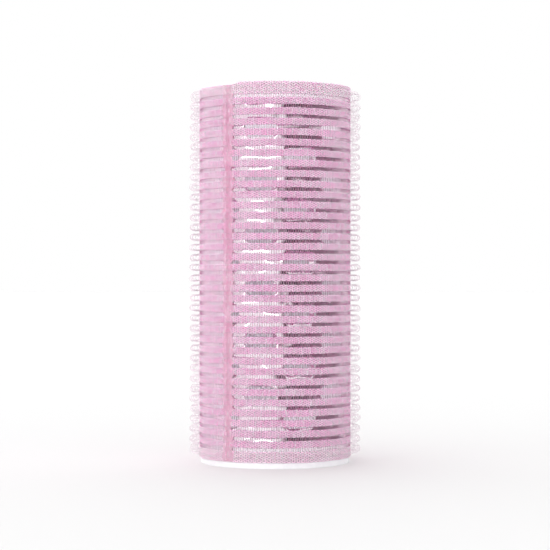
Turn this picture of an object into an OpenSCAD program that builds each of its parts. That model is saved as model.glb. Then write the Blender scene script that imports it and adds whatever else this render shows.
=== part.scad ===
// Self-grip hair roller: a vented plastic core tube, a metal foil heat sleeve round it, and a
// woven hook tape wrapped round both, whose end laps over its start in a straight seam.
// Millimetres. +Z runs up the tube and -Y is the front. The origin is the centre of the lower rim.

/* [Core tube] */
// Length of the tube
tube_len = 63; // [60:1:70]
// Outer diameter of the tube
tube_od = 25; // [24:0.5:32]
// Wall of the tube
tube_wall = 0.8; // [0.6:0.1:1.2]

/* [Vent holes] */
// Columns of holes round the tube, every other one set half a pitch lower
vent_columns = 12; // [6:2:12]
// Holes in each column
vent_rows = 6; // [3:1:6]
// Distance from one hole to the next up a column
vent_pitch = 8.6; // [6:0.1:9]
// Width of a hole, round the tube
vent_w = 5.6; // [4:0.1:5.8]
// Height of a hole, along the tube
vent_h = 2.6; // [1.5:0.1:3]
// Turn of the first column to the right of the front, in degrees
vent_turn = 19; // [0:1:29]

/* [Foil sleeve] */
// Thickness of the foil
foil_t = 0.1; // [0.05:0.01:0.15]
// Bare tube below the foil
foil_gap_low = 3.5; // [2:0.1:5]
// Bare tube above the foil
foil_gap_high = 3.2; // [2:0.1:5]

/* [Hook tape] */
// Bare rim of tube below the tape
rim_reveal = 1; // [0.5:0.1:2]
// Thickness of the sheer base cloth
base_t = 0.12; // [0.1:0.01:0.2]
// Thickness of the dense bands and selvedges on the base cloth
band_t = 0.13; // [0.1:0.01:0.2]
// Height of each sheer window between two bands
window_h = 0.65; // [0.4:0.05:0.9]

/* [Hooks] */
// Rows of hooks, one for each dense band and selvedge
hook_rows = 36; // [30:1:40]
// First row's height above the tape's lower edge
row_margin_low = 1.25; // [1:0.05:2]
// Last row's depth below the tape's upper edge
row_margin_high = 1.46; // [1:0.05:2]
// Height that the hooks stand above the tape
hook_h = 1.7; // [1:0.1:2.5]
// Width of a hook loop, along the tube
loop_w = 1.1; // [0.8:0.05:1.2]
// Diameter of the nylon filament
filament_d = 0.2; // [0.15:0.01:0.25]

/* [Lap seam] */
// Turn of the lap's visible edge to the right of the front, in degrees (left is negative)
lap_edge_turn = -37; // [-60:1:-20]
// Arc over which the tape lies double, in degrees
lap_arc = 33; // [20:1:40]
// Depth of the lapped end below the tube's upper rim
lap_drop = 0.4; // [0:0.05:0.6]
// Thickness of the adhesive in the lap
adhesive_t = 0.05; // [0.03:0.01:0.1]

/* [Hidden] */
$fn = 96;
front = -90;
cut = 1;
lap_web_arc = 4;
tube_r = tube_od / 2;
bore_r = tube_r - tube_wall;
foil_r = tube_r + foil_t;
base_r = foil_r + base_t;
tape_r = base_r + band_t;
glue_r = tape_r + adhesive_t;
lap_r = glue_r + base_t + band_t;
tape_top = tube_len;
tape_bottom = rim_reveal;
first_row_z = tape_bottom + row_margin_low;
last_row_z = tape_top - row_margin_high;
row_pitch = (last_row_z - first_row_z) / (hook_rows - 1);
band_h = row_pitch - window_h;
leg_len = hook_h - loop_w / 2;
lap_edge = front + lap_edge_turn;
lap_start = lap_edge - lap_arc;

function row_z(i) = first_row_z + (i - 1) * row_pitch;
function row_name(i) = str("hook_row_", i < 10 ? "0" : "", i);

// A plain ring round the tube's axis
module ring(z_low, z_high, r_in, r_out) {
    translate([0, 0, z_low])
        difference() {
            cylinder(h = z_high - z_low, r = r_out);
            translate([0, 0, -cut]) cylinder(h = z_high - z_low + 2 * cut, r = r_in);
        }
}

// A part of such a ring, from one angle and over an arc
module ring_sector(start, arc, z_low, z_high, r_in, r_out) {
    rotate([0, 0, start])
        rotate_extrude(angle = arc)
            translate([r_in, z_low]) square([r_out - r_in, z_high - z_low]);
}

// The outline of one vent hole: a slot with round ends
module vent_outline() {
    straight = vent_w - vent_h;
    for (side = [-1, 1])
        translate([0, side * straight / 2]) circle(d = vent_h);
    square([vent_h, straight], center = true);
}

// The vent holes as cutters that run out from inside the bore
module vent_cutters() {
    for (column = [0:vent_columns - 1]) {
        stagger = (column % 2 == 0 ? -1 : 1) * vent_pitch / 4;
        rotate([0, 0, front + vent_turn + column * 360 / vent_columns])
            for (k = [0:vent_rows - 1])
                translate([bore_r - cut, 0, tube_len / 2 + stagger + (k - (vent_rows - 1) / 2) * vent_pitch])
                    rotate([0, 90, 0])
                        linear_extrude(height = tube_wall + foil_t + 2 * cut) vent_outline();
    }
}

// Stiff translucent tube that the hair is wound on, open at both ends and vented
module core_tube() {
    color("whitesmoke")
        difference() {
            ring(0, tube_len, bore_r, tube_r);
            vent_cutters();
        }
}

// Metal foil that takes up the dryer's heat, punched with the same holes
module foil_sleeve() {
    color("silver")
        difference() {
            ring(foil_gap_low, tube_len - foil_gap_high, tube_r, foil_r);
            vent_cutters();
        }
}

// Sheer cloth of yarns that run along the tube, under the bands and across the windows
module base_cloth() {
    color("lightpink") ring(tape_bottom, tape_top, foil_r, base_r);
}

// The dense bands between the selvedges, one under each inner row of hooks
module warp_bands() {
    color("pink")
        for (i = [2:hook_rows - 1])
            ring(row_z(i) - band_h / 2, row_z(i) + band_h / 2, base_r, tape_r);
}

// Plain woven edge from the tape's lower edge to the first window
module selvedge_bottom() {
    color("pink") ring(tape_bottom, row_z(1) + band_h / 2, base_r, tape_r);
}

// Plain woven edge from the last window to the tape's upper edge
module selvedge_top() {
    color("pink") ring(row_z(hook_rows) - band_h / 2, tape_top, base_r, tape_r);
}

// The tape's end, which steps up over its start and ends in the visible straight edge
module tape_lap() {
    color("palevioletred") {
        ring_sector(lap_start, lap_arc, tape_bottom, tape_top - lap_drop, glue_r, lap_r);
        ring_sector(lap_start - lap_web_arc, lap_web_arc, tape_bottom, tape_top - lap_drop, tape_r, lap_r);
    }
}

// Adhesive between the two layers of the lap
module lap_adhesive() {
    color("ivory") ring_sector(lap_start, lap_arc, tape_bottom, tape_top - lap_drop, tape_r, glue_r);
}

// The outline of a hook loop lying on its side: straight legs and a round tip
module loop_outline(half_w) {
    translate([0, -half_w]) square([leg_len, 2 * half_w]);
    translate([leg_len, 0]) circle(r = half_w);
}

// One row of hook loops, as a ring with a loop's own hollow section, cut away over the lap
module hook_row(i) {
    color("white")
        difference() {
            rotate_extrude()
                translate([tape_r, row_z(i)])
                    difference() {
                        loop_outline(loop_w / 2);
                        translate([-cut, 0]) square([2 * cut, loop_w - 2 * filament_d], center = true);
                        loop_outline(loop_w / 2 - filament_d);
                    }
            ring_sector(lap_start - lap_web_arc, lap_arc + lap_web_arc,
                        0, tape_top + cut, base_r, lap_r);
        }
}

core_tube();
foil_sleeve();
base_cloth();
warp_bands();
selvedge_bottom();
selvedge_top();
tape_lap();
lap_adhesive();
for (i = [1:hook_rows])
    hook_row(i);
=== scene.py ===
# %% [markdown]
# # A self-grip hair roller
# A roller of this kind is a vented plastic tube, a sleeve of metal foil that holds the dryer's heat,
# and a woven hook tape wrapped round both. The tape is the interesting part: dense pink bands of yarn
# run round the tube, only a few fine yarns cross the sheer windows between them, and one clear nylon
# filament in each band stands up in a row of hooks. We make each of those threads as a real mesh.
#
# We work in metres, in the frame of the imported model: +Z up the tube, -Y towards the viewer.

# %% Load the frame
import math
import random

import bmesh
import bpy
import numpy as np
from mathutils import Matrix, Vector, noise


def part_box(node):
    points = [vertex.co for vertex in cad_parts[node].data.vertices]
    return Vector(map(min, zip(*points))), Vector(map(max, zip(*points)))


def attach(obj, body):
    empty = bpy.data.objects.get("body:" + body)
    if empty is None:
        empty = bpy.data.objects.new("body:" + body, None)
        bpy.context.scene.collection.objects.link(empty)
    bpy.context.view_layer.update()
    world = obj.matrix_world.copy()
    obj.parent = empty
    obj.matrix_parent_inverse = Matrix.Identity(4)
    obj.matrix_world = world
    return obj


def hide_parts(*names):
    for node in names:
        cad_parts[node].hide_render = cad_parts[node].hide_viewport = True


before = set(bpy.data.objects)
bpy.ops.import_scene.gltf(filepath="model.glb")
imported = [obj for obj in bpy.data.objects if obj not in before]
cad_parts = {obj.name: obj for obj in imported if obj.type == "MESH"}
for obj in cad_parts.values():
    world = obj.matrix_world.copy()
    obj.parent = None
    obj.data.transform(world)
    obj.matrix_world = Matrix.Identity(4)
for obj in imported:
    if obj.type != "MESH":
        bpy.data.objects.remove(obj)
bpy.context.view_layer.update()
MM = 0.001

# %% [markdown]
# ## Sizes from the frame
# Nothing is measured twice. The tube, the foil, the tape and every row of hooks already have a place
# in the CAD model, so we ask for their boxes and work the rest out from them.

# %% Sizes
HOOK_ROWS = [name for name in sorted(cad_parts) if name.startswith("hook_row_")]


def top_of(node):
    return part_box(node)[1]


def foot_of(node):
    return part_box(node)[0]


TUBE_R = top_of("core_tube").x
TUBE_LEN = top_of("core_tube").z
FOIL_R = top_of("foil_sleeve").x
FOIL_LOW = foot_of("foil_sleeve").z
FOIL_HIGH = top_of("foil_sleeve").z
TAPE_LOW = foot_of("base_cloth").z
TAPE_HIGH = top_of("base_cloth").z
TAPE_R = top_of("warp_bands").x
HOOK_TIP_R = top_of(HOOK_ROWS[0]).x
ROW_Z = [(foot_of(name).z + top_of(name).z) / 2 for name in HOOK_ROWS]
ROW_PITCH = (ROW_Z[-1] - ROW_Z[0]) / (len(ROW_Z) - 1)
BAND_H = 2 * (top_of("warp_bands").z - ROW_Z[-2])
TAPE_T = TAPE_R - FOIL_R
MID_Z = TUBE_LEN / 2
print(f"tube {TUBE_LEN / MM:.1f} x {2 * TUBE_R / MM:.1f} mm, {len(ROW_Z)} rows every {ROW_PITCH / MM:.3f} mm")

# %% [markdown]
# ## Camera
# The view is level with the middle of the roller and quite close, so that both rims curve away from
# us: the upper one up, the lower one down. A long lens keeps the sides nearly parallel.

# %% Camera
CAMERA_DISTANCE = 0.30
LENS = 116

camera_data = bpy.data.cameras.new("camera")
camera_data.lens = LENS
camera = bpy.data.objects.new("camera", camera_data)
bpy.context.collection.objects.link(camera)
camera.location = (0, -CAMERA_DISTANCE, MID_Z)
camera.rotation_euler = (math.pi / 2, 0, 0)
camera_data.clip_start = 0.01
bpy.context.scene.camera = camera
print("camera", tuple(round(x, 4) for x in camera.location))

# %% [markdown]
# ## Helpers
# Every piece ends the same way: its bmesh becomes an object at the origin, smooth shaded, with one
# material in one slot, riding on the roller's only body.

# %% Helpers
rng = random.Random(7)


def bm_to_mesh(bm, name):
    mesh = bpy.data.meshes.new(name)
    bm.to_mesh(mesh)
    bm.free()
    return mesh


def make_piece(mesh, material, slot, *nodes):
    for polygon in mesh.polygons:
        polygon.use_smooth = True
    mesh.materials.append(material)
    piece = bpy.data.objects.new(mesh.name, mesh)
    bpy.context.collection.objects.link(piece)
    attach(piece, "root")
    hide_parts(*nodes)
    return piece


def add_copy(bm, mesh, matrix):
    """Adds a copy of a small mesh to a bmesh, moved by a matrix, and returns its new vertices."""
    before = len(bm.verts)
    bm.from_mesh(mesh)
    bm.verts.ensure_lookup_table()
    new = bm.verts[before:]
    bmesh.ops.transform(bm, matrix=matrix, verts=new)
    return new


def points_of(mesh):
    co = np.empty(len(mesh.vertices) * 3)
    mesh.vertices.foreach_get("co", co)
    return co.reshape(-1, 3)


def set_points(mesh, co):
    mesh.vertices.foreach_set("co", co.ravel())
    mesh.update()


def ease(value, low, high):
    """0 below low, 1 above high, and a smooth step between. It runs downhill where low is above high."""
    t = np.clip((value - low) / (high - low), 0, 1)
    return t * t * (3 - 2 * t)


# %% [markdown]
# A thread is a small polygon swept along a path. `extrude_edge_only` pulls the ring forward and the
# new ring is turned square to the path, so a bend keeps the thread's thickness. Both ends are capped.

# %% Threads
def thread(bm, path, radius, sides, flat=1.0):
    """Sweeps a ring along a path in the XZ plane. flat squeezes the ring across the plane."""
    path = [Vector(p) for p in path]
    ring = bmesh.ops.create_circle(bm, segments=sides, radius=radius)["verts"]
    place_ring(ring, path, 0, flat)
    edges = {e for v in ring for e in v.link_edges}
    cap_ends = [list(ring)]
    for i in range(1, len(path)):
        grown = bmesh.ops.extrude_edge_only(bm, edges=list(edges))["geom"]
        new = [g for g in grown if isinstance(g, bmesh.types.BMVert)]
        edges = {g for g in grown if isinstance(g, bmesh.types.BMEdge)
                 and all(v in new for v in g.verts)}
        shift_ring(new, path, i)
    cap_ends.append(new)
    for ring in cap_ends:
        bmesh.ops.contextual_create(bm, geom=ring)
    bmesh.ops.recalc_face_normals(bm, faces=bm.faces)


def direction(path, i):
    ahead = path[min(i + 1, len(path) - 1)]
    behind = path[max(i - 1, 0)]
    return (ahead - behind).normalized()


def frame_at(path, i):
    """The place and turn of a ring: its own Z along the path and its X kept in the XZ plane."""
    along = direction(path, i)
    across = Vector((0, 1, 0))
    side = across.cross(along)
    turn = Matrix((side, across, along)).transposed().to_4x4()
    return Matrix.Translation(path[i]) @ turn


def place_ring(verts, path, i, flat):
    at = frame_at(path, i)
    for v in verts:
        v.co.y *= flat
        v.co = at @ v.co


def shift_ring(verts, path, i):
    """Carries a ring from the path's last point to this one."""
    move = frame_at(path, i) @ frame_at(path, i - 1).inverted()
    for v in verts:
        v.co = move @ v.co


# %% [markdown]
# ## Materials
# All of them are node materials on Object coordinates, which are the frame's own metres, so a scale
# of 1000 puts one cell of noise on each millimetre. Yarn is streaky along its length: squashing the
# coordinates along the yarn before the noise gives long fibres, and turning the same noise into bump
# gives their relief.

# %% Material helpers
def start_material(name):
    material = bpy.data.materials.new(name)
    material.use_nodes = True
    tree = material.node_tree
    return material, tree, tree.nodes["Principled BSDF"]


def add_noise(tree, scale, stretch=(1, 1, 1), detail=3):
    """Noise on Object coordinates; stretch over 1 packs it tighter along that axis."""
    coords = tree.nodes.new("ShaderNodeTexCoord")
    mapping = tree.nodes.new("ShaderNodeMapping")
    mapping.inputs["Scale"].default_value = stretch
    texture = tree.nodes.new("ShaderNodeTexNoise")
    texture.inputs["Scale"].default_value = scale
    texture.inputs["Detail"].default_value = detail
    tree.links.new(coords.outputs["Object"], mapping.inputs["Vector"])
    tree.links.new(mapping.outputs["Vector"], texture.inputs["Vector"])
    return texture.outputs["Fac"]


def add_ramp(tree, factor, low, high, start=0.35, end=0.65):
    """A colour that goes from low to high as the factor goes from start to end."""
    ramp = tree.nodes.new("ShaderNodeValToRGB")
    ramp.color_ramp.elements[0].position = start
    ramp.color_ramp.elements[0].color = (*low, 1)
    ramp.color_ramp.elements[1].position = end
    ramp.color_ramp.elements[1].color = (*high, 1)
    tree.links.new(factor, ramp.inputs["Fac"])
    return ramp.outputs["Color"]


def add_range(tree, factor, low, high):
    """A number from low to high as the factor goes through the middle of its range."""
    node = tree.nodes.new("ShaderNodeMapRange")
    node.inputs["From Min"].default_value = 0.3
    node.inputs["From Max"].default_value = 0.7
    node.inputs["To Min"].default_value = low
    node.inputs["To Max"].default_value = high
    tree.links.new(factor, node.inputs["Value"])
    return node.outputs["Result"]


def add_bump(tree, shader, height, distance, strength=1.0):
    bump = tree.nodes.new("ShaderNodeBump")
    bump.inputs["Distance"].default_value = distance
    bump.inputs["Strength"].default_value = strength
    tree.links.new(height, bump.inputs["Height"])
    tree.links.new(bump.outputs["Normal"], shader.inputs["Normal"])


def multiply(tree, colour_a, colour_b):
    node = tree.nodes.new("ShaderNodeMix")
    node.data_type = "RGBA"
    node.blend_type = "MULTIPLY"
    node.inputs["Factor"].default_value = 1
    tree.links.new(colour_a, node.inputs["A"])
    tree.links.new(colour_b, node.inputs["B"])
    return node.outputs["Result"]


# %% [markdown]
# **Yarn.** Dyed polyester multifilament: pale where light gets into it, a little deeper where the
# fibres close up, with a soft sheen. Two noises make its colour: a broad one, because the dye takes
# unevenly, and a fine fibrous one along the yarn.

# %% Yarn
def yarn_material(name, pale, deep, stretch, sheen=0.06):
    material, tree, shader = start_material(name)
    broad = add_ramp(tree, add_noise(tree, 350, detail=2), deep, pale)
    fibres = add_noise(tree, 3000, stretch)
    streaks = add_ramp(tree, fibres, (0.86, 0.84, 0.86), (1, 1, 1), 0.3, 0.6)
    tree.links.new(multiply(tree, broad, streaks), shader.inputs["Base Color"])
    tree.links.new(add_range(tree, fibres, 0.75, 0.5), shader.inputs["Roughness"])
    shader.inputs["Sheen Weight"].default_value = sheen
    shader.inputs["Sheen Roughness"].default_value = 0.4
    shader.inputs["Subsurface Weight"].default_value = 0.8
    shader.inputs["Subsurface Radius"].default_value = (1.0, 0.65, 0.85)
    shader.inputs["Subsurface Scale"].default_value = 0.15 * MM
    add_bump(tree, shader, fibres, 0.01 * MM, 0.6)
    return material


ROUND_THE_TUBE = (0.12, 0.12, 2.2)
ALONG_THE_TUBE = (2.2, 2.2, 0.12)
band_yarn = yarn_material("band_yarn", (0.96, 0.57, 0.76), (0.94, 0.47, 0.69), ROUND_THE_TUBE)
selvedge_yarn = yarn_material("selvedge_yarn", (0.97, 0.69, 0.81), (0.96, 0.60, 0.76), ROUND_THE_TUBE)
weft_yarn = yarn_material("weft_yarn", (0.92, 0.54, 0.72), (0.88, 0.46, 0.66), ALONG_THE_TUBE)
weft_yarn.node_tree.nodes["Principled BSDF"].inputs["Alpha"].default_value = 0.2
weld_yarn = yarn_material("weld_yarn", (0.95, 0.60, 0.74), (0.93, 0.50, 0.68), (1, 1, 1))
weld_yarn.node_tree.nodes["Principled BSDF"].inputs["Alpha"].default_value = 0.42

# %% [markdown]
# **Plastic.** Natural polypropylene is milky: light goes a millimetre or two into it, which
# subsurface scattering stands for. **Foil** is bare metal: fine crinkles on broad soft buckles, which
# bend the mirrored light into short streaks. **Nylon** and **hot-melt** are clear. Glass would cast a
# hard shadow from every thread, so both are mostly transparent by alpha instead and keep their gloss.

# %% Plastic, foil, nylon and hot-melt
def plastic_material():
    material, tree, shader = start_material("milky_plastic")
    grain = add_noise(tree, 900, detail=4)
    tree.links.new(add_ramp(tree, grain, (0.88, 0.86, 0.90), (0.93, 0.92, 0.95)), shader.inputs["Base Color"])
    tree.links.new(add_range(tree, grain, 0.32, 0.45), shader.inputs["Roughness"])
    shader.inputs["Subsurface Weight"].default_value = 0.35
    shader.inputs["Subsurface Radius"].default_value = (1.0, 1.0, 1.0)
    shader.inputs["Subsurface Scale"].default_value = 1.2 * MM
    shader.inputs["IOR"].default_value = 1.49
    add_bump(tree, shader, grain, 0.01 * MM, 0.4)
    return material


def foil_material():
    material, tree, shader = start_material("heat_foil")
    crinkle = add_noise(tree, 700, (1, 1, 0.6), detail=5)
    buckle = add_noise(tree, 230, (0.7, 0.7, 1.7), detail=1)
    tree.links.new(add_ramp(tree, crinkle, (0.77, 0.71, 0.76), (0.87, 0.83, 0.86)), shader.inputs["Base Color"])
    tree.links.new(add_range(tree, crinkle, 0.05, 0.13), shader.inputs["Roughness"])
    shader.inputs["Metallic"].default_value = 1.0
    relief = tree.nodes.new("ShaderNodeMath")
    relief.operation = "MULTIPLY_ADD"
    relief.inputs[1].default_value = 0.008
    tree.links.new(crinkle, relief.inputs[0])
    tree.links.new(buckle, relief.inputs[2])
    add_bump(tree, shader, relief.outputs[0], 1.1 * MM)
    return material


def clear_material(name, shade, light, grain, roughness, alpha):
    """A clear thread or film. A ray meets two surfaces of it, so alpha is under what the eye sees."""
    material, tree, shader = start_material(name)
    haze = add_noise(tree, grain, detail=2)
    tree.links.new(add_ramp(tree, haze, shade, light), shader.inputs["Base Color"])
    tree.links.new(add_range(tree, haze, roughness, roughness * 2), shader.inputs["Roughness"])
    shader.inputs["IOR"].default_value = 1.53
    shader.inputs["Alpha"].default_value = alpha
    return material


milky_plastic = plastic_material()
heat_foil = foil_material()
clear_nylon = clear_material("clear_nylon", (0.78, 0.68, 0.75), (0.90, 0.82, 0.87), 1200, 0.15, 0.17)
# The hot-melt's pale, mottled colour is partly painted light: it lifts the shade on the lap's lower layer, seen
# through the windows of the end.
hot_melt_and_painted_light = clear_material("hot_melt_and_painted_light", (0.85, 0.82, 0.90), (0.98, 0.85, 0.92), 450, 0.35, 0.6)
print("materials", [m.name for m in bpy.data.materials if m.users])

# %% [markdown]
# ## Core tube
# The CAD tube already has the right shape, with its bore, rims and round-ended vents, so it stays as
# it is and only takes the milky plastic.

# %% Core tube
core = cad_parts["core_tube"]
core.data.materials.clear()
core.data.materials.append(milky_plastic)
print("core tube keeps its CAD mesh,", len(core.data.polygons), "faces")

# %% [markdown]
# ## Foil sleeve
# The foil is punched flat and rolled on. We do the same. One cell of foil is a rectangle round one
# hole: the rim of a grid, a ring of the hole's outline, and `bridge_loops` between them. Copies of the
# cell fill each column, every other column sits half a pitch lower, and plain grid closes the ends.
# Rolling it up is a move of the vertices, and the creases are a little noise in the radius.

# %% Foil cell
VENT_COLUMNS = 12
VENT_ROWS = 6
VENT_PITCH = 8.6 * MM
VENT_W = 5.6 * MM
VENT_H = 2.6 * MM
VENT_TURN = math.radians(19 - 90)
CELL_W = 2 * math.pi * FOIL_R / VENT_COLUMNS
CELL_ACROSS = 12
CELL_UP = 16
LINE = VENT_PITCH / CELL_UP


def slot_point(share):
    """The point that far round a slot's outline, from its right-hand middle, anticlockwise."""
    r, half = VENT_H / 2, (VENT_W - VENT_H) / 2
    lengths = [math.pi * r / 2, 2 * half, math.pi * r, 2 * half, math.pi * r / 2]
    d = share * sum(lengths)
    for part, length in enumerate(lengths):
        if d <= length or part == len(lengths) - 1:
            break
        d -= length
    if part == 1:
        return Vector((half - d, r, 0))
    if part == 3:
        return Vector((-half + d, -r, 0))
    centre, start = [(half, 0), None, (-half, math.pi / 2), None, (half, 1.5 * math.pi)][part]
    turn = start + d / r
    return Vector((centre + r * math.cos(turn), r * math.sin(turn), 0))


def foil_cell():
    bm = bmesh.new()
    bmesh.ops.create_grid(bm, x_segments=CELL_ACROSS, y_segments=CELL_UP, size=0.5)
    bmesh.ops.delete(bm, geom=[v for v in bm.verts if not v.is_boundary], context="VERTS")
    bmesh.ops.scale(bm, vec=(CELL_W, VENT_PITCH, 1), verts=bm.verts)
    count = len(bm.verts)
    hole = bmesh.ops.create_circle(bm, segments=count, radius=VENT_H / 2)["verts"]
    for v in hole:
        v.co = slot_point((math.atan2(v.co.y, v.co.x) / (2 * math.pi)) % 1)
    bridge = bmesh.ops.bridge_loops(bm, edges=bm.edges)
    bmesh.ops.subdivide_edges(bm, edges=bridge["edges"], cuts=2, use_grid_fill=False)
    bmesh.ops.recalc_face_normals(bm, faces=bm.faces)
    return bm_to_mesh(bm, "foil_cell")


cell = foil_cell()
print("foil cell", len(cell.polygons), "faces")

# %% Foil sleeve
FOIL_MID_R = (TUBE_R + FOIL_R) / 2
CREASE = 0.06 * MM
FOIL_SKIN = 0.02 * MM


def plain_foil(bm, column, low, high):
    """Plain grid that fills a column between two heights."""
    lines = round((high - low) / LINE)
    if lines < 1:
        return
    middle = Matrix.Translation(((column + 0.5) * CELL_W, (low + high) / 2, 0))
    scale = Matrix.Diagonal((CELL_W, high - low, 1, 1))
    bmesh.ops.create_grid(bm, x_segments=CELL_ACROSS, y_segments=lines, size=0.5, matrix=middle @ scale)


def crease(angle, z):
    """How far the foil leaves its middle radius: broad waves and tighter ones, lying on the tube at lowest."""
    place = Vector((math.cos(angle), math.sin(angle), z / (5 * FOIL_MID_R)))
    wave = noise.noise(place * 5.0) + 0.5 * noise.noise(place * 13.0 + Vector((3, 1, 4)))
    resting = TUBE_R + FOIL_SKIN - FOIL_MID_R
    return max(CREASE * wave, resting)


def foil_sleeve():
    bm = bmesh.new()
    half = VENT_ROWS * VENT_PITCH / 2
    margin = math.floor((MID_Z - half - VENT_PITCH / 4) / LINE) * LINE
    for column in range(VENT_COLUMNS):
        middle = MID_Z + (-1 if column % 2 == 0 else 1) * VENT_PITCH / 4
        for row in range(VENT_ROWS):
            y = middle + (row - (VENT_ROWS - 1) / 2) * VENT_PITCH
            add_copy(bm, cell, Matrix.Translation(((column + 0.5) * CELL_W, y, 0)))
        low_end = MID_Z - half - VENT_PITCH / 4 - margin
        high_end = MID_Z + half + VENT_PITCH / 4 + margin
        plain_foil(bm, column, low_end, middle - half)
        plain_foil(bm, column, middle + half, high_end)
    bmesh.ops.remove_doubles(bm, verts=bm.verts, dist=0.005 * MM)
    for z, outward in ((FOIL_LOW, -1), (FOIL_HIGH, 1)):
        everything = bm.verts[:] + bm.edges[:] + bm.faces[:]
        bmesh.ops.bisect_plane(bm, geom=everything, plane_co=(0, z, 0), plane_no=(0, outward, 0),
                               clear_outer=True)
    for v in bm.verts:
        angle = VENT_TURN + (v.co.x / CELL_W - 0.5) * 2 * math.pi / VENT_COLUMNS
        r = FOIL_MID_R + crease(angle, v.co.y)
        v.co = Vector((r * math.cos(angle), r * math.sin(angle), v.co.y))
    bmesh.ops.remove_doubles(bm, verts=bm.verts, dist=0.005 * MM)
    bmesh.ops.recalc_face_normals(bm, faces=bm.faces)
    return bm_to_mesh(bm, "foil_wrap")


foil = make_piece(foil_sleeve(), heat_foil, "foil_metal", "foil_sleeve")
skin = foil.modifiers.new("thickness", "SOLIDIFY")
skin.thickness = FOIL_SKIN
skin.offset = -1
print("foil", len(foil.data.polygons), "faces before its thickness")

# %% [markdown]
# ## Rolling the tape
# The tape is woven flat, so we weave it flat: X runs along the tape, Y across it (which becomes the
# height on the tube) and Z is the height above the foil. `roll_up` then winds it on. It makes more
# than one turn: the end climbs over the start and lies on it for a short way, which is the lap seam
# left of the front. The start went on a little low, so its bands show in the windows of the end and
# the lap looks mottled; the end's own upper selvedge is pulled down to match.

# %% Roll up
LAP_EDGE = math.radians(-37 - 90)
LAP_ARC = math.radians(33)
LAP_START = LAP_EDGE - LAP_ARC
LAP_CLIMB = math.radians(4)
FULL_TURN = 2 * math.pi
WRAP = FULL_TURN + LAP_ARC
WRAP_R = FOIL_R + TAPE_T / 2
LAP_LIFT = 0.25 * MM
LAP_DROP = TAPE_HIGH - top_of("tape_lap").z
START_RAMP = math.radians(12)
START_SLANT = 0.75 * MM
START_EASE = 4 * MM
END_RAMP = math.radians(50)
TAPE_LONG = WRAP * WRAP_R
SELVEDGE_TOP_FOOT = foot_of("selvedge_top").z


def lift(turn):
    """How far the tape is lifted, a given turn from its start: onto its own start at the lap."""
    return LAP_LIFT * ease(turn, FULL_TURN - LAP_CLIMB, FULL_TURN)


def drop(turn, z):
    """How far the tape is drawn down: its upper selvedge by the seam, and its whole start under the lap."""
    start = 1 - ease(turn, LAP_ARC, LAP_ARC + START_RAMP)
    end = ease(turn, FULL_TURN - END_RAMP, FULL_TURN)
    in_selvedge = np.clip((z - SELVEDGE_TOP_FOOT) / (TAPE_HIGH - SELVEDGE_TOP_FOOT), 0, 1)
    slant = START_SLANT * ease(turn, LAP_ARC, LAP_ARC - START_RAMP) * ease(z, TAPE_LOW, TAPE_LOW + START_EASE)
    return LAP_DROP * (start + end) * in_selvedge + slant


def roll_up(mesh):
    co = points_of(mesh)
    turn = co[:, 0] / WRAP_R
    angle = LAP_START + turn
    r = FOIL_R + co[:, 2] + lift(turn)
    z = co[:, 1] - drop(turn, co[:, 1])
    set_points(mesh, np.stack([r * np.cos(angle), r * np.sin(angle), z], axis=1))
    return mesh


print(f"tape is {TAPE_LONG / MM:.1f} mm long and {(TAPE_HIGH - TAPE_LOW) / MM:.1f} mm wide")

# %% [markdown]
# ## Weft
# A needle loom carries its weft across in a hairpin, so each pick is two yarns side by side with a
# small loop at the selvedge. The picks are what crosses the sheer windows. They stay straight in the
# middle of the cloth, and the warp does the weaving over and under them.

# %% Weft
PICK_TURN = math.radians(1.8)
PICKS = int(WRAP / PICK_TURN)
WEFT_R = 0.05 * MM
WEFT_APART = 0.055 * MM
WEFT_STEPS = 7
WEFT_INSET = 0.06 * MM


def pick_path():
    """Up one leg, round the hairpin and down the other, in the XZ plane."""
    low, high = TAPE_LOW + WEFT_INSET, TAPE_HIGH - WEFT_INSET - WEFT_APART
    ups = [low + (high - low) * i / WEFT_STEPS for i in range(WEFT_STEPS + 1)]
    bend = [math.pi * i / 4 for i in range(1, 4)]
    path = [(-WEFT_APART, 0, z) for z in ups]
    path += [(-WEFT_APART * math.cos(t), 0, high + WEFT_APART * math.sin(t)) for t in bend]
    path += [(WEFT_APART, 0, z) for z in reversed(ups)]
    return path


def one_pick():
    bm = bmesh.new()
    thread(bm, pick_path(), WEFT_R, 5)
    bmesh.ops.rotate(bm, matrix=Matrix.Rotation(-math.pi / 2, 3, "X"), verts=bm.verts)
    return bm_to_mesh(bm, "pick")


def weave_weft():
    pick = one_pick()
    bm = bmesh.new()
    for k in range(PICKS):
        x = (k + 0.5) * PICK_TURN * WRAP_R
        phase, sway = rng.uniform(0, FULL_TURN), rng.uniform(0.01, 0.035) * MM
        for v in add_copy(bm, pick, Matrix.Translation((x, 0, TAPE_T / 2))):
            v.co.x += sway * math.sin(phase + v.co.y / (6 * MM))
    return roll_up(bm_to_mesh(bm, "tape_weft"))


weft = make_piece(weave_weft(), weft_yarn, "base_fabric", "base_cloth")
print("weft", PICKS, "picks,", len(weft.data.polygons), "faces")

# %% [markdown]
# ## Warp bands and selvedges
# A warp yarn runs the whole length of the tape. `spin` with a step and no turn sweeps its ring of
# four points straight along X, two steps to a pick, and a cosine then takes it over one pick and under
# the next. Its neighbour does the opposite, which is a plain weave. Six yarns make a band. The
# selvedges are the same weave, closed up over the tape's whole margin.

# %% Warp
YARN_APART = 0.20 * MM
YARN_W = 0.26 * MM
YARN_H = 0.06 * MM
STEPS_PER_PICK = 2
PICK_LONG = PICK_TURN * WRAP_R
WEAVE_DEPTH = 0.5 * (WEFT_R + YARN_H / 2)


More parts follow.
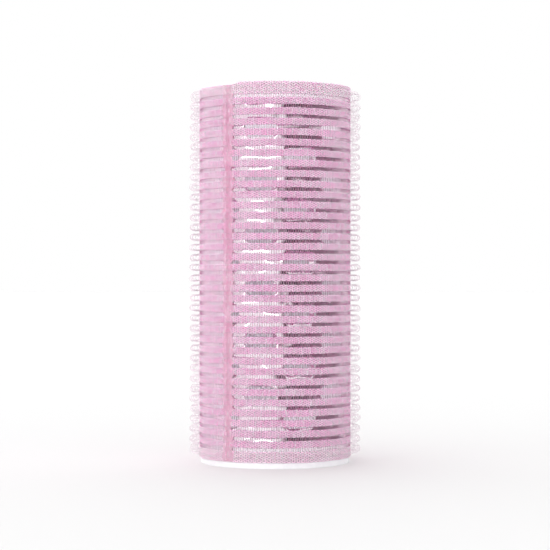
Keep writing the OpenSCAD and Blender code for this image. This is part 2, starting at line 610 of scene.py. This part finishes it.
def one_yarn():
    """A straight flat yarn as long as the tape, two steps to a pick."""
    bm = bmesh.new()
    ring = bmesh.ops.create_circle(bm, segments=4, radius=0.5)["verts"]
    bmesh.ops.rotate(bm, matrix=Matrix.Rotation(math.pi / 2, 3, "Y"), verts=ring)
    bmesh.ops.scale(bm, vec=(1, YARN_W, YARN_H), verts=ring)
    step = (PICK_LONG / STEPS_PER_PICK, 0, 0)
    swept = bmesh.ops.spin(bm, geom=bm.edges[:], angle=0, steps=PICKS * STEPS_PER_PICK, dvec=step,
                           axis=(0, 0, 1), cent=(0, 0, 0), use_duplicate=False)
    last = [g for g in swept["geom_last"] if isinstance(g, bmesh.types.BMVert)]
    for end in (ring, last):
        bmesh.ops.contextual_create(bm, geom=end)
    bmesh.ops.recalc_face_normals(bm, faces=bm.faces)
    return bm_to_mesh(bm, "yarn")


yarn = one_yarn()


def weave_yarns(name, low, high, count):
    """Yarns side by side between two heights, woven over and under the picks and rolled up."""
    bm = bmesh.new()
    for _ in range(count):
        bm.from_mesh(yarn)
    mesh = bm_to_mesh(bm, name)
    co = points_of(mesh)
    which = np.repeat(np.arange(count), len(yarn.vertices))
    picks = co[:, 0] / PICK_LONG
    wander = 0.02 * np.sin(picks * 0.21 + rng.uniform(0, 6)) + 0.012 * np.sin(picks * 0.67 + rng.uniform(0, 6))
    co[:, 1] += low + (which + 0.5) * (high - low) / count + wander * MM
    co[:, 2] += TAPE_T / 2 + WEAVE_DEPTH * np.cos(np.pi * (picks - 0.5 + which))
    set_points(mesh, co)
    return roll_up(mesh)


bands = []
for i, z in list(enumerate(ROW_Z, start=1))[1:-1]:
    mesh = weave_yarns(f"warp_band_{i:02d}", z - BAND_H / 2, z + BAND_H / 2, 6)
    bands.append(make_piece(mesh, band_yarn, "band_fabric", "warp_bands"))
print(len(bands), "bands of", len(bands[0].data.polygons), "faces")

selvedges = []
for name, node in (("selvedge_low", "selvedge_bottom"), ("selvedge_high", "selvedge_top")):
    low, high = foot_of(node).z, top_of(node).z
    mesh = weave_yarns(name, low, high, round((high - low) / YARN_APART))
    selvedges.append(make_piece(mesh, selvedge_yarn, "selvedge_fabric", node))
print("selvedges", [len(s.data.polygons) for s in selvedges], "faces")

# %% [markdown]
# ## Lap seam
# The tape's end is stuck down with hot-melt and its cut edge is sealed with heat, so the last
# millimetre is a fused strip, a little deeper in colour than the cloth. Both are thin grids, rolled up
# with the tape and given a thickness.

# %% Lap seam
WELD_W = 2.3 * MM
WELD_T = 0.12 * MM
WELD_PAST = 1.2 * MM


def strip(name, start, end, low, high, height, ripple, cell):
    """A thin strip on the flat tape from one place along it to another, with a rippled surface."""
    bm = bmesh.new()
    across, up = round((end - start) / cell), round((high - low) / cell)
    place = Matrix.Translation(((start + end) / 2, (low + high) / 2, height))
    size = Matrix.Diagonal((end - start, high - low, 1, 1))
    bmesh.ops.create_grid(bm, x_segments=across, y_segments=up, size=0.5, matrix=place @ size)
    for v in bm.verts:
        v.co.z += ripple * noise.noise(v.co / (0.5 * MM))
    return bm_to_mesh(bm, name)


def bead(mesh, middle):
    """Draws a strip's sides in over the windows, where there is little yarn to melt, and frays them."""
    co = points_of(mesh)
    row = (co[:, 1] - ROW_Z[0]) / ROW_PITCH
    on_band = 0.5 + 0.5 * np.cos(2 * np.pi * row)
    fray = np.array([noise.noise(Vector((0.3, y / (0.6 * MM), 5.0))) for y in co[:, 1]])
    co[:, 0] = middle + (co[:, 0] - middle) * (0.66 + 0.14 * on_band + 0.5 * fray)
    co[:, 2] -= LAP_LIFT * ease(co[:, 0], TAPE_LONG - 0.3 * MM, TAPE_LONG + 0.4 * MM)
    set_points(mesh, co)
    return mesh


def add_thickness(piece, thickness):
    solid = piece.modifiers.new("thickness", "SOLIDIFY")
    solid.thickness = thickness
    solid.offset = 0


weld_mesh = strip("lap_weld", TAPE_LONG + WELD_PAST - WELD_W, TAPE_LONG + WELD_PAST, TAPE_LOW, TAPE_HIGH, TAPE_T / 2, 0.03 * MM, 0.2 * MM)
weld_mesh = roll_up(bead(weld_mesh, TAPE_LONG + WELD_PAST - WELD_W / 2))
weld = make_piece(weld_mesh, weld_yarn, "band_fabric", "tape_lap")
add_thickness(weld, WELD_T)

# The glue's pale colour is partly painted light over the shaded lower layer of the lap.
glue_mesh = strip("lap_glue", FULL_TURN * WRAP_R, TAPE_LONG - 0.4 * MM, TAPE_LOW + 0.3 * MM,
                  TAPE_HIGH - 0.3 * MM, -0.02 * MM, 0.01 * MM, 0.6 * MM)
glue = make_piece(roll_up(glue_mesh), hot_melt_and_painted_light, "seam_adhesive", "lap_adhesive")
add_thickness(glue, 0.03 * MM)
print("lap", len(weld.data.polygons), "+", len(glue.data.polygons), "faces")

# %% [markdown]
# ## Hooks
# In each band one nylon monofilament is raised into loops over a wire, set with heat, and cut near
# one foot, so that every loop becomes a hook. A hook is one thread on a U-shaped path. It is made
# once, and each copy gets its own small lean and twist, because no two of them stand quite alike.

# %% One hook
HOOK_H = HOOK_TIP_R - TAPE_R
FILAMENT_R = 0.10 * MM
LOOP_R = (top_of(HOOK_ROWS[0]).z - foot_of(HOOK_ROWS[0]).z) / 2 - FILAMENT_R
HOOK_ROOT = -0.08 * MM
CUT_GAP = 0.30 * MM
BEND_STEPS = 6


def one_hook():
    """A hook with its foot at the origin: X points out of the tape and Z along the tube."""
    top = HOOK_H - FILAMENT_R - LOOP_R
    bend = [math.pi * i / BEND_STEPS for i in range(BEND_STEPS + 1)]
    path = [(HOOK_ROOT, 0, -LOOP_R)]
    path += [(top + LOOP_R * math.sin(t), 0, -LOOP_R * math.cos(t)) for t in bend]
    path += [(CUT_GAP, 0, LOOP_R)]
    bm = bmesh.new()
    thread(bm, path, FILAMENT_R, 5)
    return bm_to_mesh(bm, "hook")


# %% Rows of hooks
HOOK_TURN = 3 * PICK_TURN
HOOK_FOOT = TAPE_T * 0.75
LAST_ROW_SIZE = 1.15


def hook_row(name, z, side, size):
    """One row of hooks round the tube; side says which leg is the cut one and size how big they are."""
    bm = bmesh.new()
    turn = LAP_ARC + rng.uniform(0, HOOK_TURN)
    while turn < WRAP:
        lean = Matrix.Rotation(rng.gauss(0, math.radians(4)), 4, "Y")
        nod = Matrix.Rotation(rng.gauss(0, math.radians(6)), 4, "Z")
        twist = Matrix.Rotation(rng.gauss(0, math.radians(9)), 4, "X")
        stretch = Matrix.Diagonal((rng.gauss(0.99, 0.03), 1, side * size * rng.gauss(1, 0.05), 1))
        r = FOIL_R + HOOK_FOOT + float(lift(turn))
        place = Matrix.Rotation(LAP_START + turn, 4, "Z") @ Matrix.Translation((r, 0, z))
        add_copy(bm, hook, place @ lean @ nod @ twist @ stretch)
        turn += HOOK_TURN
    bmesh.ops.recalc_face_normals(bm, faces=bm.faces)
    return bm_to_mesh(bm, name)


hook = one_hook()
rows = []
for i, (node, z) in enumerate(zip(HOOK_ROWS, ROW_Z), start=1):
    size = LAST_ROW_SIZE if i == len(ROW_Z) else 1
    mesh = hook_row(f"hooks_{i:02d}", z, 1 if i % 2 else -1, size)
    rows.append(make_piece(mesh, clear_nylon, "hook_nylon", node))
print(len(rows), "rows of hooks,", len(hook.polygons), "faces a hook,", len(rows[0].data.polygons), "a row")

# %% [markdown]
# The tape is one sheet of cloth, cut from a roll of hook tape as wide as the tube is long, less the
# bare rim. Its weft and the rest of the cloth are rolled round the foil the same way.

# %% [markdown]
# ## Studio
# The floor is plain and pale. Cloth and mirrors want different light, so the world gives each kind of
# ray its own. Cloth and plastic get a soft white from all round, stronger from the left and weaker from
# overhead. The foil mirrors a white tent that is open to a dark room on the right, so it goes dark in
# the right-hand windows. The camera sees plain white behind the roller from every side.

# %% Floor
bm = bmesh.new()
bmesh.ops.create_grid(bm, x_segments=1, y_segments=1, size=3)
floor = bpy.data.objects.new("floor", bm_to_mesh(bm, "floor"))
bpy.context.collection.objects.link(floor)
floor_material, floor_tree, floor_shader = start_material("pale_floor")
floor_shader.inputs["Base Color"].default_value = (0.80, 0.80, 0.80, 1)
floor_shader.inputs["Roughness"].default_value = 0.9
floor_shader.inputs["Specular IOR Level"].default_value = 0.1
floor.data.materials.append(floor_material)
floor.visible_glossy = False

# %% Light tent
TENT = [(-180, 1.0), (-120, 1.0), (-62, 1.0), (-50, 1.2), (-34, 1.15), (-20, 1.15), (-10, 1.15), (6, 1.05),
        (16, 0.03), (70, 0.02), (104, 0.05), (118, 0.25), (140, 0.9), (180, 1.0)]
TENT_TOP = 1.2
SOFT_LEFT = 2.15
SOFT_RIGHT = 1.0
FRONT_LIGHT = 1.1
BACK_LIGHT = 1.5
OVERHEAD = 0.35


def add_math(tree, operation, a, b):
    node = tree.nodes.new("ShaderNodeMath")
    node.operation = operation
    tree.links.new(a, node.inputs[0])
    tree.links.new(b, node.inputs[1])
    return node.outputs[0]


def span(tree, value, low, high, start=0.0, end=1.0):
    """A light that goes from low to high as the value goes from start to end."""
    node = tree.nodes.new("ShaderNodeMapRange")
    node.inputs["From Min"].default_value = start
    node.inputs["From Max"].default_value = end
    node.inputs["To Min"].default_value = low
    node.inputs["To Max"].default_value = high
    tree.links.new(value, node.inputs["Value"])
    return node.outputs["Result"]


def choose(tree, factor, a, b):
    """Socket a where the factor is 0 and b where it is 1; b may be a plain grey level."""
    node = tree.nodes.new("ShaderNodeMix")
    node.data_type = "RGBA"
    tree.links.new(factor, node.inputs["Factor"])
    tree.links.new(a, node.inputs["A"])
    if isinstance(b, float):
        node.inputs["B"].default_value = (b, b, b, 1)
    else:
        tree.links.new(b, node.inputs["B"])
    return node.outputs["Result"]


def tent_walls(tree, right, towards):
    """The tent's grey level by compass direction, 0 degrees being the camera's side."""
    azimuth = add_math(tree, "ARCTAN2", right, span(tree, towards, 1.0, -1.0, -1.0, 1.0))
    share = span(tree, azimuth, 0.0, 1.0, -math.pi, math.pi)
    ramp = tree.nodes.new("ShaderNodeValToRGB")
    elements = ramp.color_ramp.elements
    while len(elements) < len(TENT):
        elements.new(0.5)
    for element, (degrees, value) in zip(elements, TENT):
        element.position = (degrees + 180) / 360
        element.color = (value, value, value, 1)
    tree.links.new(share, ramp.inputs["Fac"])
    return ramp.outputs["Color"]


def light_tent():
    world = bpy.data.worlds.new("tent")
    bpy.context.scene.world = world
    world.use_nodes = True
    tree = world.node_tree
    split = tree.nodes.new("ShaderNodeSeparateXYZ")
    tree.links.new(tree.nodes.new("ShaderNodeTexCoord").outputs["Generated"], split.inputs["Vector"])
    right, away, up = [split.outputs[axis] for axis in "XYZ"]
    front_and_back = add_math(tree, "ADD", span(tree, away, FRONT_LIGHT, 0.0, -1.0, 0.0),
                              span(tree, away, 0.0, BACK_LIGHT))
    all_round = add_math(tree, "ADD", span(tree, right, SOFT_LEFT, SOFT_RIGHT, -1.0), front_and_back)
    soft = add_math(tree, "MULTIPLY", all_round, span(tree, up, 1.0, OVERHEAD))
    mirrored = choose(tree, span(tree, up, 0.0, 1.0, 0.35, 0.75), tent_walls(tree, right, away), TENT_TOP)
    rays = tree.nodes.new("ShaderNodeLightPath")
    lit = choose(tree, rays.outputs["Is Glossy Ray"], soft, mirrored)
    seen = choose(tree, rays.outputs["Is Camera Ray"], lit, 1.0)
    tree.links.new(seen, tree.nodes["Background"].inputs["Color"])


light_tent()
print("tent with", len(TENT), "walls")

# %% [markdown]
# One small hard light stands a little left of the camera. Cloth hardly shows it, but each buckle of
# the foil that faces the right way throws back a glint, strong enough to shine between the yarns.

# %% Glint light
GLINT_TURN = math.radians(-22)
GLINT_DISTANCE = 0.7
GLINT_HEIGHT = 0.12
GLINT_SIZE = (0.50, 0.05)
GLINT_POWER = 0.8

glint_data = bpy.data.lights.new("glint", "AREA")
glint_data.shape = "RECTANGLE"
glint_data.size, glint_data.size_y = GLINT_SIZE
glint_data.energy = GLINT_POWER
glint = bpy.data.objects.new("glint", glint_data)
bpy.context.collection.objects.link(glint)
glint.location = (GLINT_DISTANCE * math.sin(GLINT_TURN), -GLINT_DISTANCE * math.cos(GLINT_TURN), MID_Z + GLINT_HEIGHT)
to_roller = Vector((0, 0, MID_Z)) - glint.location
glint.rotation_euler = to_roller.to_track_quat("-Z", "Y").to_euler()
glint.visible_camera = False
glint.visible_diffuse = False
glint.visible_transmission = False
bpy.context.scene.view_settings.view_transform = "Standard"

# %% [markdown]
# The vents are windows into the bore, and the bore is deep: little light finds its way to the bottom,
# so the lower vents would look dark. A narrow spot straight down the bore lights the floor inside it,
# and that floor lights the wall. Its beam is slimmer than the bore, so it falls on nothing outside.

# %% Bore light
BORE_LIGHT_HIGH = 0.7
BORE_LIGHT_BEAM = math.radians(1.7)
BORE_LIGHT_POWER = 27

bore_light_data = bpy.data.lights.new("bore_light", "SPOT")
bore_light_data.energy = BORE_LIGHT_POWER
bore_light_data.spot_size = BORE_LIGHT_BEAM
bore_light_data.spot_blend = 0.3
bore_light_data.shadow_soft_size = 2 * MM
bore_light = bpy.data.objects.new("bore_light", bore_light_data)
bpy.context.collection.objects.link(bore_light)
bore_light.location = (0, 0, BORE_LIGHT_HIGH)
beam = BORE_LIGHT_HIGH * math.tan(BORE_LIGHT_BEAM / 2)
print(f"bore light's beam is {2 * beam / MM:.1f} mm wide at the floor")

# %% [markdown]
# ## Finish
# The faces of the new pieces are counted.

# %% Finish
total = sum(len(p.data.polygons) for p in [foil, weft, weld, glue, *bands, *selvedges, *rows])
print("new pieces have", total, "faces in all")
